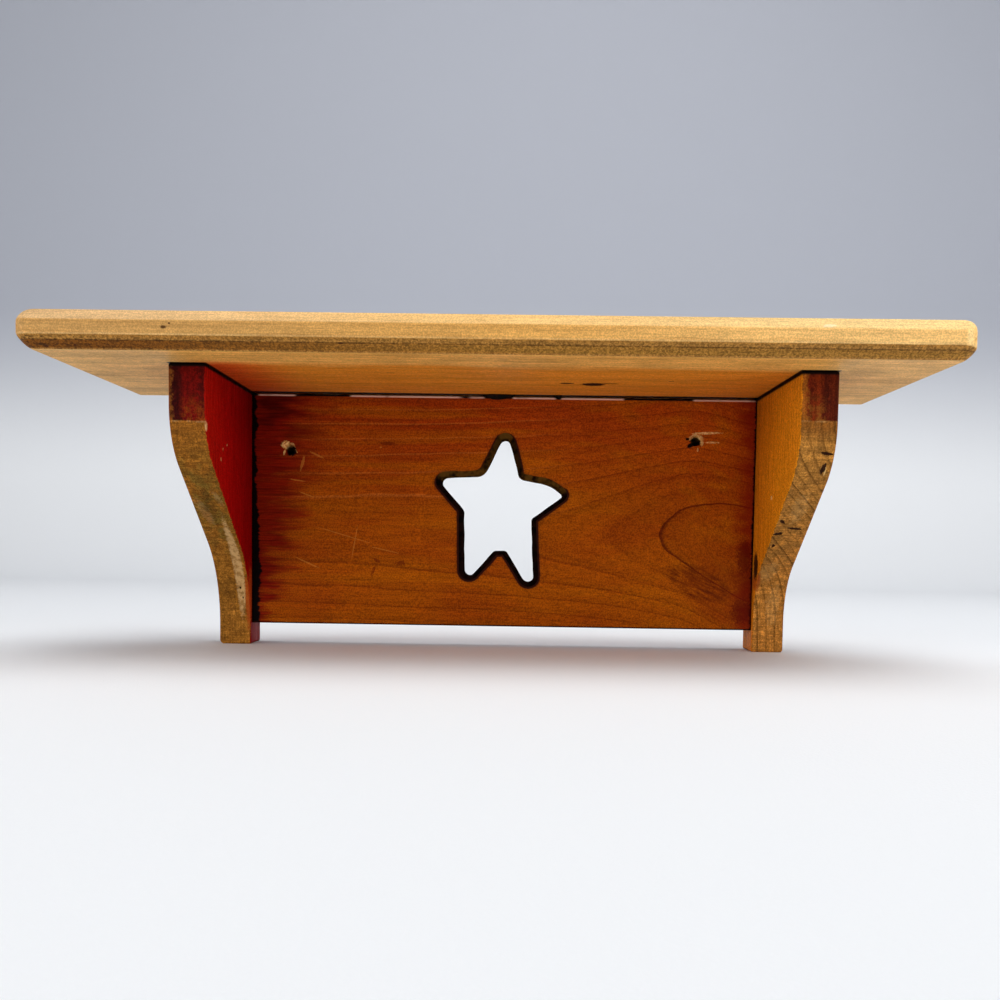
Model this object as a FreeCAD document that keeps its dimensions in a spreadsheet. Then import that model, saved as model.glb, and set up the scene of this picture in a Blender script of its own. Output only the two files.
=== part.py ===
"""Country-style wall shelf: a bevelled pine board carried by two S-curved brackets,
with a stained back panel between them that has a star sawn through it.

Frame: +X to the right, +Y into the wall, +Z up. The origin lies on the wall plane, at the middle of the
board's back edge between the brackets. Sizes are in millimetres.
"""
import FreeCAD, Part
import math
import os
import Sketcher

Vector = FreeCAD.Vector
# Places nearer than this, in millimetres, are the same place
SAME_PLACE = 1e-3

# Driving dimensions: one cell each, named by its alias
SIZES = {
    # shelf board, a nominal one-by-six with its ends sawn
    "board_length": 461.4,
    "board_depth": 139.7,
    "board_thickness": 19.05,
    "board_bevel": 6.0,
    "board_corner_round": 8.0,
    "board_shift": -4.0,
    # back panel between the brackets
    "panel_length": 304.8,
    "panel_height": 138.8,
    "panel_thickness": 19.05,
    "panel_top_gap": 1.2,
    "panel_ease": 0.8,
    # brackets: straight shoulder, slanted waist, narrow foot; each curve was sawn by hand
    "bracket_thickness": 19.05,
    "bracket_height": 153.0,
    "bracket_depth": 105.5,
    "foot_depth": 21.0,
    "bracket_ease": 1.2,
    "left_shoulder_drop": 21.0,
    "left_shoulder_radius": 41.0,
    "left_waist_angle": 50.0,
    "left_foot_radius": 65.0,
    "right_shoulder_drop": 25.5,
    "right_shoulder_radius": 40.0,
    "right_waist_angle": 50.5,
    "right_foot_radius": 44.0,
    # star sawn through the panel: centre below the panel's top edge, rounding and bevelled front edge
    "star_drop": 70.8,
    "star_tip_round": 3.4,
    "star_notch_round": 3.2,
    "star_edge_bevel": 2.6,
    # two wall screw holes, drilled by eye at different heights
    "screw_hole_radius": 2.4,
    "left_screw_reach": 128.6,
    "left_screw_drop": 34.1,
    "right_screw_reach": 115.9,
    "right_screw_drop": 25.3,
    # finishing nails, their heads set below the surface and filled
    "nail_length": 50.8,
    "nail_radius": 1.25,
    "nail_head_radius": 1.7,
    "nail_head_height": 2.0,
    "nail_point_length": 4.0,
    "nail_set_depth": 1.6,
    "nail_clearance": 0.05,
    "shelf_nail_inset": 32.0,
    "shelf_nail_spacing": 46.0,
    "side_nail_drop": 60.0,
    "side_nail_spacing": 54.0,
    # hardened glue between the panel's top edge and the board
    "glue_depth": 9.0,
    "glue_inset": 1.5,
    "wide_glue_start": -12.7,
    "wide_glue_length": 17.5,
    "narrow_glue_start": 30.6,
    "narrow_glue_length": 2.4,
}

# Corners of the hand-sawn star, clockwise from its top: name, right of centre, above centre
STAR_CORNERS = (
    ("top_tip", 2.1, 52.7),
    ("upper_right_notch", 10.5, 22.2),
    ("right_tip", 41.4, 17.0),
    ("lower_right_notch", 17.9, -2.3),
    ("lower_right_tip", 20.4, -50.2),
    ("crotch_right_notch", 2.2, -21.7),
    ("crotch_left_notch", -4.3, -22.0),
    ("lower_left_tip", -23.1, -42.5),
    ("lower_left_notch", -23.9, 2.7),
    ("left_tip", -41.2, 22.6),
    ("upper_left_notch", -11.7, 24.1),
)

doc = FreeCAD.newDocument("WallShelf")
sheet = doc.addObject("Spreadsheet::Sheet", "sizes")


def fill_sheet():
    """Write every driving dimension into the sheet, one named cell per row."""
    cells = dict(SIZES)
    for name, right, above in STAR_CORNERS:
        cells["star_" + name + "_right"] = right
        cells["star_" + name + "_above"] = above
    for row, (alias, value) in enumerate(cells.items(), 1):
        sheet.set(f"A{row}", alias)
        sheet.set(f"B{row}", str(value))
        sheet.setAlias(f"B{row}", alias)
    doc.recompute()


def size(alias):
    return float(sheet.get(alias))


def evaluate(expression):
    """The present value of an expression on the sheet's sizes."""
    return float(sheet.evalExpression(expression))


def new_body(label, **place):
    """A body named for its piece; place gives expressions for its position, by axis."""
    body = doc.addObject("PartDesign::Body", label)
    body.Label = label
    for axis, expression in place.items():
        body.setExpression("Placement.Base." + axis, expression)
    return body


def new_sketch(body, role, name, offset=None):
    """A sketch on one of the body's own origin planes, moved along its normal by an expression."""
    plane = next(item for item in body.Origin.OriginFeatures if item.Role == role)
    sketch = body.newObject("Sketcher::SketchObject", body.Name + "_" + name)
    sketch.AttachmentSupport = [(plane, "")]
    sketch.MapMode = "FlatFace"
    if offset:
        sketch.setExpression("AttachmentOffset.Base.z", offset)
    return sketch


def drive(sketch, kind, *where, value, expression):
    """Add a dimension to a sketch and bind it to the sheet."""
    index = sketch.addConstraint(Sketcher.Constraint(kind, *where, value))
    sketch.setExpression(f"Constraints[{index}]", expression)


def locate(sketch, geometry, point, across, up):
    """Fix a sketch point by two expressions, measured from the sketch's origin."""
    place = sketch.getPoint(geometry, point)
    drive(sketch, "DistanceX", -1, 1, geometry, point, value=place.x, expression=across)
    drive(sketch, "DistanceY", -1, 1, geometry, point, value=place.y, expression=up)


def draw_outline(sketch, corners):
    """Draw a closed outline of straight lines through corners given as pairs of expressions."""
    points = [Vector(evaluate(across), evaluate(up), 0) for across, up in corners]
    count = len(points)
    first = sketch.GeometryCount
    for index, point in enumerate(points):
        sketch.addGeometry(Part.LineSegment(point, points[(index + 1) % count]))
    for index in range(count):
        sketch.addConstraint(Sketcher.Constraint(
            "Coincident", first + index, 2, first + (index + 1) % count, 1))
    for index, (across, up) in enumerate(corners):
        locate(sketch, first + index, 1, across, up)


def draw_rectangle(sketch, left, bottom, right, top):
    draw_outline(sketch, [(left, bottom), (right, bottom), (right, top), (left, top)])


def draw_circles(sketch, centres, radius):
    """Draw circles of one radius at centres given as pairs of expressions."""
    for across, up in centres:
        centre = Vector(evaluate(across), evaluate(up), 0)
        index = sketch.addGeometry(Part.Circle(centre, Vector(0, 0, 1), evaluate(radius)))
        drive(sketch, "Radius", index, value=evaluate(radius), expression=radius)
        locate(sketch, index, 3, across, up)


def pad(body, sketch, name, length, reverse=False):
    feature = body.newObject("PartDesign::Pad", body.Name + "_" + name)
    feature.Profile = sketch
    feature.Reversed = reverse
    feature.setExpression("Length", length)
    doc.recompute()
    return feature


def pocket(body, sketch, name, length=None, reverse=False):
    """Cut a sketch out of a body, right through it where no length is given."""
    before = body.Shape.Volume
    feature = body.newObject("PartDesign::Pocket", body.Name + "_" + name)
    feature.Profile = sketch
    feature.Reversed = reverse
    if length:
        feature.setExpression("Length", length)
    else:
        feature.Type = "ThroughAll"
    doc.recompute()
    if not feature.Shape.Volume < before:
        raise RuntimeError(feature.Name + " cuts nothing")
    return feature


def dress(body, kind, name, base, edges, amount):
    """Round or bevel edges of a feature: kind is Fillet or Chamfer."""
    feature = body.newObject("PartDesign::" + kind, body.Name + "_" + name)
    feature.Base = (base, edges)
    feature.setExpression("Radius" if kind == "Fillet" else "Size", amount)
    doc.recompute()
    return feature


def edges_where(feature, wanted):
    """Names of the feature's edges that a test picks."""
    return [f"Edge{index}" for index, edge in enumerate(feature.Shape.Edges, 1) if wanted(edge)]


def lies_on(edge, axis, place):
    """Whether a whole edge lies on a plane square to an axis."""
    low = getattr(edge.BoundBox, axis + "Min")
    high = getattr(edge.BoundBox, axis + "Max")
    return abs(low - place) < SAME_PLACE and abs(high - place) < SAME_PLACE


def runs_along(edge, axis):
    """Whether an edge is straight and parallel to an axis."""
    if not isinstance(edge.Curve, Part.Line):
        return False
    across = [getattr(edge.BoundBox, other + "Length") for other in "XYZ" if other != axis.upper()]
    return max(across) < SAME_PLACE


def stands_at(edge, places):
    """Whether an edge runs through the panel's thickness at one of the places."""
    middle = Vector(edge.CenterOfMass.x, 0, edge.CenterOfMass.z)
    return runs_along(edge, "y") and any((middle - place).Length < SAME_PLACE for place in places)


FULL_TURN = 360
QUARTER_TURN = 90

# Places that several pieces share, as expressions on the sheet
UNDERSIDE = "-sizes.board_thickness / 2"
BRACKET_MIDDLE = "(sizes.panel_length + sizes.bracket_thickness) / 2"
NAIL_BITE = "(sizes.nail_length + sizes.nail_set_depth + sizes.nail_clearance)"
HEAD_BORE = "sizes.nail_head_radius + sizes.nail_clearance"
SHANK_BORE = "sizes.nail_radius + sizes.nail_clearance"
HEAD_SEAT = "sizes.nail_set_depth + sizes.nail_head_height"


def make_board():
    """The board: square back edge, rounded front corners, bevels above and below on front and ends."""
    body = new_body("shelf_board", x="sizes.board_shift", z=UNDERSIDE)
    outline = new_sketch(body, "XY_Plane", "outline")
    half = "sizes.board_length / 2"
    draw_rectangle(outline, "-" + half, "-sizes.board_depth", half, "0")
    plank = pad(body, outline, "plank", "sizes.board_thickness")
    front = -size("board_depth")
    corners = edges_where(plank, lambda edge: runs_along(edge, "z") and lies_on(edge, "Y", front))
    rounded = dress(body, "Fillet", "corner_round", plank, corners, "sizes.board_corner_round")
    faces = (0.0, size("board_thickness"))
    rims = edges_where(rounded, lambda edge: any(lies_on(edge, "Z", level) for level in faces)
                       and not lies_on(edge, "Y", 0.0))
    dress(body, "Chamfer", "bevel", rounded, rims, "sizes.board_bevel")
    nails = []
    for sign in ("-", ""):
        across = f"{sign}{BRACKET_MIDDLE} - sizes.board_shift"
        nails.append((across, "-sizes.shelf_nail_inset"))
        nails.append((across, "-sizes.shelf_nail_inset - sizes.shelf_nail_spacing"))
    shanks = new_sketch(body, "XY_Plane", "nail_shanks", "sizes.board_thickness")
    draw_circles(shanks, nails, SHANK_BORE)
    pocket(body, shanks, "nail_bores")
    heads = new_sketch(body, "XY_Plane", "nail_heads", "sizes.board_thickness")
    draw_circles(heads, nails, HEAD_BORE)
    pocket(body, heads, "nail_seats", HEAD_SEAT)
    return body


def make_panel():
    """The back panel: star with rounded corners and bevelled front edge, screw holes, nail bores."""
    body = new_body("back_panel", z=UNDERSIDE + " - sizes.panel_top_gap")
    outline = new_sketch(body, "XZ_Plane", "outline")
    half = "sizes.panel_length / 2"
    draw_rectangle(outline, "-" + half, "-sizes.panel_height", half, "0")
    plank = pad(body, outline, "plank", "sizes.panel_thickness")
    front = -size("panel_thickness")
    rim = edges_where(plank, lambda edge: lies_on(edge, "Y", front))
    dress(body, "Chamfer", "ease", plank, rim, "sizes.panel_ease")

    star = new_sketch(body, "XZ_Plane", "star")
    corners = [(f"sizes.star_{name}_right", f"sizes.star_{name}_above - sizes.star_drop")
               for name, _, _ in STAR_CORNERS]
    draw_outline(star, corners)
    base = pocket(body, star, "star_cut", reverse=True)
    for ending in ("tip", "notch"):
        places = [Vector(size(f"star_{name}_right"), 0, size(f"star_{name}_above") - size("star_drop"))
                  for name, _, _ in STAR_CORNERS if name.endswith(ending)]
        corners = edges_where(base, lambda edge: stands_at(edge, places))
        base = dress(body, "Fillet", f"star_{ending}_round", base, corners, f"sizes.star_{ending}_round")
    face = max((item for item in base.Shape.Faces if abs(item.CenterOfMass.y - front) < SAME_PLACE),
               key=lambda item: item.Area)
    star_rim = max((wire for wire in face.Wires if not wire.isSame(face.OuterWire)),
                   key=lambda wire: len(wire.Edges))
    rim = edges_where(base, lambda edge: any(edge.isSame(other) for other in star_rim.Edges))
    dress(body, "Chamfer", "star_bevel", base, rim, "sizes.star_edge_bevel")

    screws = new_sketch(body, "XZ_Plane", "screws")
    draw_circles(screws, [("-sizes.left_screw_reach", "-sizes.left_screw_drop"),
                          ("sizes.right_screw_reach", "-sizes.right_screw_drop")],
                 "sizes.screw_hole_radius")
    pocket(body, screws, "screw_holes", reverse=True)

    for side, sign, reverse in (("left", "-", True), ("right", "", False)):
        nails = new_sketch(body, "YZ_Plane", side + "_nails", sign + half)
        upper = "sizes.panel_top_gap - sizes.side_nail_drop"
        middle = "-sizes.panel_thickness / 2"
        draw_circles(nails, [(middle, upper), (middle, upper + " - sizes.side_nail_spacing")], SHANK_BORE)
        pocket(body, nails, side + "_nail_bores", NAIL_BITE + " - sizes.bracket_thickness", reverse)
    return body


def draw_bracket(sketch, side):
    """A bracket's side outline: back edge on the wall, straight shoulder, slanted waist, foot."""
    angle = math.radians(size(side + "_waist_angle"))
    front, foot = -size("bracket_depth"), -size("foot_depth")
    height, drop = -size("bracket_height"), -size(side + "_shoulder_drop")
    upper, lower = size(side + "_shoulder_radius"), size(side + "_foot_radius")
    rise, run = math.sin(angle), 1 - math.cos(angle)
    waist_top = Vector(front + upper * run, drop - upper * rise, 0)
    waist_end = foot - lower * run
    waist_low = Vector(waist_end, waist_top.y - (waist_end - waist_top.x) / math.tan(angle), 0)
    foot_top = Vector(foot, waist_low.y - lower * rise, 0)
    straight = [
        (Vector(0, 0, 0), Vector(front, 0, 0)),
        (Vector(front, 0, 0), Vector(front, drop, 0)),
        (waist_top, waist_low),
        (foot_top, Vector(foot, height, 0)),
        (Vector(foot, height, 0), Vector(0, height, 0)),
        (Vector(0, height, 0), Vector(0, 0, 0)),
    ]
    top, shoulder_face, waist, foot_face, sole, back = (
        sketch.addGeometry(Part.LineSegment(*ends)) for ends in straight)
    axis = Vector(0, 0, 1)
    shoulder_circle = Part.Circle(Vector(front + upper, drop, 0), axis, upper)
    shoulder = sketch.addGeometry(Part.ArcOfCircle(shoulder_circle, math.pi, math.pi + angle))
    foot_circle = Part.Circle(Vector(foot - lower, foot_top.y, 0), axis, lower)
    hollow = sketch.addGeometry(Part.ArcOfCircle(foot_circle, 0, angle))
    joints = [
        ("Coincident", top, 2, shoulder_face, 1), ("Coincident", foot_face, 2, sole, 1),
        ("Coincident", sole, 2, back, 1), ("Coincident", back, 2, top, 1), ("Coincident", top, 1, -1, 1),
        ("Horizontal", top), ("Vertical", shoulder_face), ("Vertical", foot_face),
        ("Horizontal", sole), ("Vertical", back),
        ("Tangent", shoulder_face, 2, shoulder, 1), ("Tangent", shoulder, 2, waist, 1),
        ("Tangent", waist, 2, hollow, 2), ("Tangent", hollow, 1, foot_face, 1),
    ]
    for joint in joints:
        sketch.addConstraint(Sketcher.Constraint(*joint))
    drive(sketch, "DistanceX", top, 2, top, 1, value=-front, expression="sizes.bracket_depth")
    drive(sketch, "DistanceX", foot_face, 2, sole, 2, value=-foot, expression="sizes.foot_depth")
    drive(sketch, "DistanceY", back, 1, back, 2, value=-height, expression="sizes.bracket_height")
    drive(sketch, "DistanceY", shoulder_face, 2, shoulder_face, 1, value=-drop,
          expression=f"sizes.{side}_shoulder_drop")
    drive(sketch, "Radius", shoulder, value=upper, expression=f"sizes.{side}_shoulder_radius")
    drive(sketch, "Radius", hollow, value=lower, expression=f"sizes.{side}_foot_radius")
    drive(sketch, "Angle", waist, value=angle - math.pi / 2,
          expression=f"sizes.{side}_waist_angle - {QUARTER_TURN}")


def make_bracket(side, sign):
    """One bracket, sawn from a board with upright grain; its inner face meets the panel's end."""
    body = new_body(side + "_bracket", x=f"{sign}sizes.panel_length / 2", z=UNDERSIDE)
    outward = sign == ""
    outline = new_sketch(body, "YZ_Plane", "outline")
    draw_bracket(outline, side)
    plank = pad(body, outline, "plank", "sizes.bracket_thickness", reverse=not outward)
    ends = (0.0, -size("bracket_height"))

    def is_arris(edge):
        """Edges of the two faces, the top and the sole; the wall side and the smooth seams stay."""
        crosses = runs_along(edge, "x")
        at_end = any(lies_on(edge, "Z", level) for level in ends)
        return abs(edge.CenterOfMass.y) > SAME_PLACE and (at_end or not crosses)

    dress(body, "Fillet", "ease", plank, edges_where(plank, is_arris), "sizes.bracket_ease")

    middle = f"{sign}sizes.bracket_thickness / 2"
    tops = new_sketch(body, "XY_Plane", "shelf_nails")
    draw_circles(tops, [(middle, "-sizes.shelf_nail_inset"),
                        (middle, "-sizes.shelf_nail_inset - sizes.shelf_nail_spacing")], SHANK_BORE)
    pocket(body, tops, "shelf_nail_bores", NAIL_BITE + " - sizes.board_thickness")

    places = [("-sizes.panel_thickness / 2", "-sizes.side_nail_drop"),
              ("-sizes.panel_thickness / 2", "-sizes.side_nail_drop - sizes.side_nail_spacing")]
    outer_face = f"{sign}sizes.bracket_thickness"
    shanks = new_sketch(body, "YZ_Plane", "side_nail_shanks", outer_face)
    draw_circles(shanks, places, SHANK_BORE)
    pocket(body, shanks, "side_nail_bores", reverse=not outward)
    heads = new_sketch(body, "YZ_Plane", "side_nail_heads", outer_face)
    draw_circles(heads, places, HEAD_BORE)
    pocket(body, heads, "side_nail_seats", HEAD_SEAT, reverse=not outward)
    return body


def make_nails(label, spacing, pattern_axis, turn, **place):
    """A pair of finishing nails: barrel head, straight shank, drawn point; head at the local top.

    The second nail stands in front of the first in a shelf joint, and below it in a side joint.
    """
    body = new_body(label, **place)
    body.Placement.Rotation = FreeCAD.Rotation(Vector(0, 1, 0), turn)
    profile = new_sketch(body, "XZ_Plane", "profile")
    draw_outline(profile, [
        ("0", "0"),
        ("sizes.nail_head_radius", "0"),
        ("sizes.nail_head_radius", "-sizes.nail_head_height"),
        ("sizes.nail_radius", "-sizes.nail_head_height"),
        ("sizes.nail_radius", "sizes.nail_point_length - sizes.nail_length"),
        ("0", "-sizes.nail_length"),
    ])
    nail = body.newObject("PartDesign::Revolution", label + "_turned")
    nail.Profile = profile
    nail.ReferenceAxis = (profile, ["V_Axis"])
    nail.Angle = FULL_TURN
    doc.recompute()
    pattern = body.newObject("PartDesign::LinearPattern", label + "_pair")
    pattern.Originals = [nail]
    axis = next(item for item in body.Origin.OriginFeatures if item.Role == pattern_axis)
    pattern.Direction = (axis, [""])
    pattern.Reversed = pattern_axis == "Y_Axis" or turn < 0
    pattern.setExpression("Length", spacing)
    pattern.Occurrences = 2
    body.Tip = pattern
    doc.recompute()
    return body


def make_filler(label, spacing, along, turn, **place):
    """Two discs of wood filler, flush with the surface, over a pair of nail heads."""
    body = new_body(label, **place)
    body.Placement.Rotation = FreeCAD.Rotation(Vector(0, 1, 0), turn)
    discs = new_sketch(body, "XY_Plane", "discs")
    second = ("0", "-" + spacing) if along == "Y" else (("-" if turn < 0 else "") + spacing, "0")
    draw_circles(discs, [("0", "0"), second], "sizes.nail_head_radius")
    pad(body, discs, "fill", "sizes.nail_set_depth", reverse=True)
    return body


def make_glue():
    """Hardened glue left in the gap above the panel: one wide smear and one small bead."""
    body = new_body("glue_spots", z=UNDERSIDE)
    smears = new_sketch(body, "XY_Plane", "smears")
    front = "sizes.glue_inset - sizes.panel_thickness"
    for name in ("wide", "narrow"):
        start = f"sizes.{name}_glue_start"
        draw_rectangle(smears, start, front, f"{start} + sizes.{name}_glue_length",
                       front + " + sizes.glue_depth")
    pad(body, smears, "smear", "sizes.panel_top_gap", reverse=True)
    return body


def make_fasteners():
    """Nails and filler at each joint: board to brackets from above, brackets to panel from outside."""
    pieces = []
    for side, sign, turn in (("left", "-", -QUARTER_TURN), ("right", "", QUARTER_TURN)):
        joint = dict(x=sign + BRACKET_MIDDLE, y="-sizes.shelf_nail_inset")
        top = "sizes.board_thickness / 2"
        spacing = "sizes.shelf_nail_spacing"
        pieces.append(make_nails(side + "_shelf_nails", spacing, "Y_Axis", 0,
                                 z=top + " - sizes.nail_set_depth", **joint))
        pieces.append(make_filler(side + "_shelf_nail_filler", spacing, "Y", 0, z=top, **joint))

        joint = dict(y="-sizes.panel_thickness / 2", z=UNDERSIDE + " - sizes.side_nail_drop")
        outer = "(sizes.panel_length / 2 + sizes.bracket_thickness"
        spacing = "sizes.side_nail_spacing"
        pieces.append(make_nails(side + "_side_nails", spacing, "X_Axis", turn,
                                 x=f"{sign}{outer} - sizes.nail_set_depth)", **joint))
        pieces.append(make_filler(side + "_side_nail_filler", spacing, "X", turn,
                                  x=f"{sign}{outer})", **joint))
    return pieces


def check(pieces):
    """Stop before writing anything if a feature failed or a piece is not a sound solid."""
    for item in doc.Objects:
        faults = {"Invalid", "Error"} & set(item.State)
        if faults:
            raise RuntimeError(f"{item.Name}: {', '.join(faults)}")
    for piece in pieces:
        shape = piece.Shape
        if shape.isNull() or not shape.isValid() or not shape.Solids:
            raise RuntimeError(piece.Label + " is not a sound solid")


def write(pieces):
    os.makedirs("parts", exist_ok=True)
    for piece in pieces:
        piece.Shape.exportStep(f"parts/{piece.Label}.step")
        box = piece.Shape.BoundBox
        print(f"{piece.Label}: {len(piece.Shape.Solids)} solid(s), {piece.Shape.Volume:.1f} mm3, "
              f"{box.XLength:.2f} x {box.YLength:.2f} x {box.ZLength:.2f} mm")


fill_sheet()
pieces = [make_board(), make_panel(), make_bracket("left", "-"), make_bracket("right", "")]
pieces += make_fasteners()
pieces.append(make_glue())
doc.recompute()
check(pieces)
write(pieces)
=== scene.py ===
import math

import bmesh
import bpy
from mathutils import Matrix, Vector, noise


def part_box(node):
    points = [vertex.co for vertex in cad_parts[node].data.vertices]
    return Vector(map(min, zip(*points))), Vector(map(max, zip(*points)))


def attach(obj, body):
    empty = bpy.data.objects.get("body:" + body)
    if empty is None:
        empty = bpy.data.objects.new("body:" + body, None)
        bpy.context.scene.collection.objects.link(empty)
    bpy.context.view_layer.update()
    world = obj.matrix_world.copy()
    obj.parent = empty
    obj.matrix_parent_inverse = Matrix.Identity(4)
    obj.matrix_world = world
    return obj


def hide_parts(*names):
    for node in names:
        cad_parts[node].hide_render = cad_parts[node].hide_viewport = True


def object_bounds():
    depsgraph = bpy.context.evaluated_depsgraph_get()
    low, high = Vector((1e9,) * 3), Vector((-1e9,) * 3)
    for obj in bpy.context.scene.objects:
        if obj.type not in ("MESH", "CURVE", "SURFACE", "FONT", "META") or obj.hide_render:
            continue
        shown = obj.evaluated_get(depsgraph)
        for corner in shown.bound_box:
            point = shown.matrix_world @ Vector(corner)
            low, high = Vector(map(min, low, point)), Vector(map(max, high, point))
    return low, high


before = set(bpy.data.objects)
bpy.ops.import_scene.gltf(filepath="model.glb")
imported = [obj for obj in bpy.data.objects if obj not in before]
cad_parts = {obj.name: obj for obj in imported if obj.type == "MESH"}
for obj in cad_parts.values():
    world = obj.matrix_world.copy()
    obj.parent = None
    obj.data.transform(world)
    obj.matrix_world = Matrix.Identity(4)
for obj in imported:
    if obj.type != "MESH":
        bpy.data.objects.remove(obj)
cad_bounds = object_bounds()

# Back panel: a pine board stained orange-brown, which stands between the brackets and holds them apart.
# A star was sawn through it by eye, its front edge bevelled and scorched, and two holes were drilled
# for wall screws, which tore the wood where they broke the surface.
MM = 0.001
UP = Vector((0, 0, 1))
ALONG = Vector((1, 0, 0))
INTO_WALL = Vector((0, 1, 0))
panel_low, panel_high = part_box("back_panel")
panel_front = panel_low.y
panel_thickness = panel_high.y - panel_low.y
panel_ease = 0.8 * MM
arris_steps = 3
same_way = 0.99999
star_middle = Vector((0, panel_front, panel_high.z - 70.8 * MM))
# Each corner of the star has its place right of the middle and above it, and its round, all in mm.
star_corners = {
    "top tip": (2.1, 52.7, 3.4),
    "upper right notch": (10.3, 22.6, 5.0),
    "right arm bend": (28.8, 19.4, 25.0),
    "right tip": (38.0, 12.5, 2.2),
    "lower right notch": (17.9, -2.3, 2.8),
    "lower right tip": (20.4, -50.2, 3.4),
    "crotch right notch": (2.2, -21.7, 2.8),
    "crotch left notch": (-4.3, -22.0, 2.8),
    "lower left tip": (-23.1, -42.5, 3.4),
    "lower left notch": (-23.9, 2.7, 4.0),
    "left tip": (-41.2, 22.6, 3.2),
    "upper left notch": (-11.7, 24.1, 8.0),
}
star_bevel = 2.6 * MM
star_halo = 3.6 * MM
floor_reflection_thinning = 0.55
sharpest_notch = 0.1 * MM
saw_wander = 0.45 * MM
saw_waves = 110
screw_hole_radius = 2.4 * MM
hole_steps = 24
tear_depth = 2.0 * MM
tear_roughness = 0.3
tear_waves = 1.9
tear_shift = 90
drill_slant = 1.8 * MM
screw_holes = [
    {"middle": (-128.6, -44.825), "tear": (-1.1, 1.5), "tear_size": (3.7, 4.3)},
    {"middle": (115.9, -36.025), "tear": (0.2, 0.6), "tear_size": (4.2, 3.6)},
]


def points_among(parts):
    """The points among parts of a mesh."""
    return [part for part in parts if isinstance(part, bmesh.types.BMVert)]


def points_of(edges):
    """The points at the ends of edges, each once."""
    return list(dict.fromkeys(point for edge in edges for point in edge.verts))


def trace(work, corners, rounds, axis, arc_steps, run_cuts=0):
    """Draws a closed outline round the corners, each turned by its own radius, and gives its edges."""
    drawn_before = set(work.edges)
    runs = []
    first = last = None
    for index, (corner, radius) in enumerate(zip(corners, rounds)):
        arriving = (corner - corners[index - 1]).normalized()
        leaving = (corners[(index + 1) % len(corners)] - corner).normalized()
        turn = arriving.angle(leaving)
        side = math.copysign(1, axis.dot(arriving.cross(leaving)))
        start = work.verts.new(corner - arriving * radius * math.tan(turn / 2))
        if last:
            runs.append(work.edges.new((last, start)))
        first = first or start
        last = start
        if radius:
            centre = start.co + side * radius * axis.cross(arriving)
            arc = bmesh.ops.spin(work, geom=[start], cent=centre, axis=axis * side, angle=turn,
                                 steps=arc_steps)
            last = points_among(arc["geom_last"])[0]
    runs.append(work.edges.new((last, first)))
    if run_cuts:
        bmesh.ops.subdivide_edges(work, edges=runs, cuts=run_cuts)
    return [edge for edge in work.edges if edge not in drawn_before]


def trace_star(work, spread, depth):
    """Draws the star, widened by spread, at a depth behind the panel's front."""
    shift = star_middle + INTO_WALL * depth
    sawn = [shift + Vector((right, 0, above)) * MM for right, above, turn in star_corners.values()]
    corners = []
    rounds = []
    for index, (corner, (right, above, turn)) in enumerate(zip(sawn, star_corners.values())):
        arriving = (corner - sawn[index - 1]).normalized()
        leaving = (sawn[(index + 1) % len(sawn)] - corner).normalized()
        bends_out = arriving.cross(leaving).dot(INTO_WALL) > 0
        rounds.append(turn * MM + spread if bends_out else max(turn * MM - spread, sharpest_notch))
        outward = (arriving + leaving).cross(INTO_WALL)
        corners.append(corner + outward * spread / (1 + arriving.dot(leaving)))
    edges = trace(work, corners, rounds, INTO_WALL, arc_steps=8, run_cuts=7)
    for point in points_of(edges):
        wave = point.co * saw_waves
        point.co += Vector((noise.noise(wave), 0, noise.noise(wave + UP))) * saw_wander
    return edges


def ring(work, middle, outward, size, roughness=0.0):
    """Draws a round or oval ring, its radius made uneven by roughness, and gives its edges."""
    turn = outward.to_track_quat("Z", "Y").to_matrix().to_4x4()
    points = bmesh.ops.create_circle(work, cap_ends=False, radius=1, segments=hole_steps)["verts"]
    for point in points:
        point.co *= 1 + roughness * noise.noise(point.co * tear_waves + middle * tear_shift)
    bmesh.ops.scale(work, verts=points, vec=(size[0], size[1], 1))
    bmesh.ops.transform(work, verts=points, matrix=Matrix.Translation(middle) @ turn)
    return list(dict.fromkeys(edge for point in points for edge in point.link_edges))


def boxed(work, low, high):
    """A block between two corners."""
    block = bmesh.ops.create_cube(work, size=1)
    bmesh.ops.scale(work, verts=block["verts"], vec=high - low)
    bmesh.ops.translate(work, verts=block["verts"], vec=(high + low) / 2)


def facing(work, direction):
    """The faces that look one way."""
    work.normal_update()
    return [face for face in work.faces if face.normal.dot(direction) > same_way]


def ease(work, edges, width, segments):
    """Takes the sharpness off edges."""
    bmesh.ops.bevel(work, geom=edges, offset=width, offset_type="OFFSET", segments=segments, profile=0.5,
                    affect="EDGES", material=-1)


def open_up(work, faces):
    """Takes flat faces away and gives the edges that bounded them."""
    rim = list(dict.fromkeys(edge for face in faces for edge in face.edges))
    bmesh.ops.delete(work, geom=faces, context="FACES_ONLY")
    return rim


def close_up(work, edges, direction):
    """Fills the flat space between outlines, enlarged for the while because the fill is too coarse for mm."""
    points = points_of(edges)
    bmesh.ops.scale(work, verts=points, vec=(1 / MM, 1 / MM, 1 / MM))
    bmesh.ops.triangle_fill(work, use_beauty=True, edges=edges, normal=direction)
    bmesh.ops.scale(work, verts=points, vec=(MM, MM, MM))


def make_piece(name, work, *finishes):
    """Turns a finished mesh into an object whose flat faces shade flat beside their eased edges."""
    bmesh.ops.recalc_face_normals(work, faces=work.faces[:])
    for face in work.faces:
        face.smooth = True
    mesh = bpy.data.meshes.new(name)
    work.to_mesh(mesh)
    work.free()
    for finish in finishes:
        mesh.materials.append(finish)
    piece = bpy.data.objects.new(name, mesh)
    bpy.context.scene.collection.objects.link(piece)
    flatten = piece.modifiers.new("flat faces", "WEIGHTED_NORMAL")
    flatten.keep_sharp = True
    flatten.weight = 100
    return piece


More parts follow.
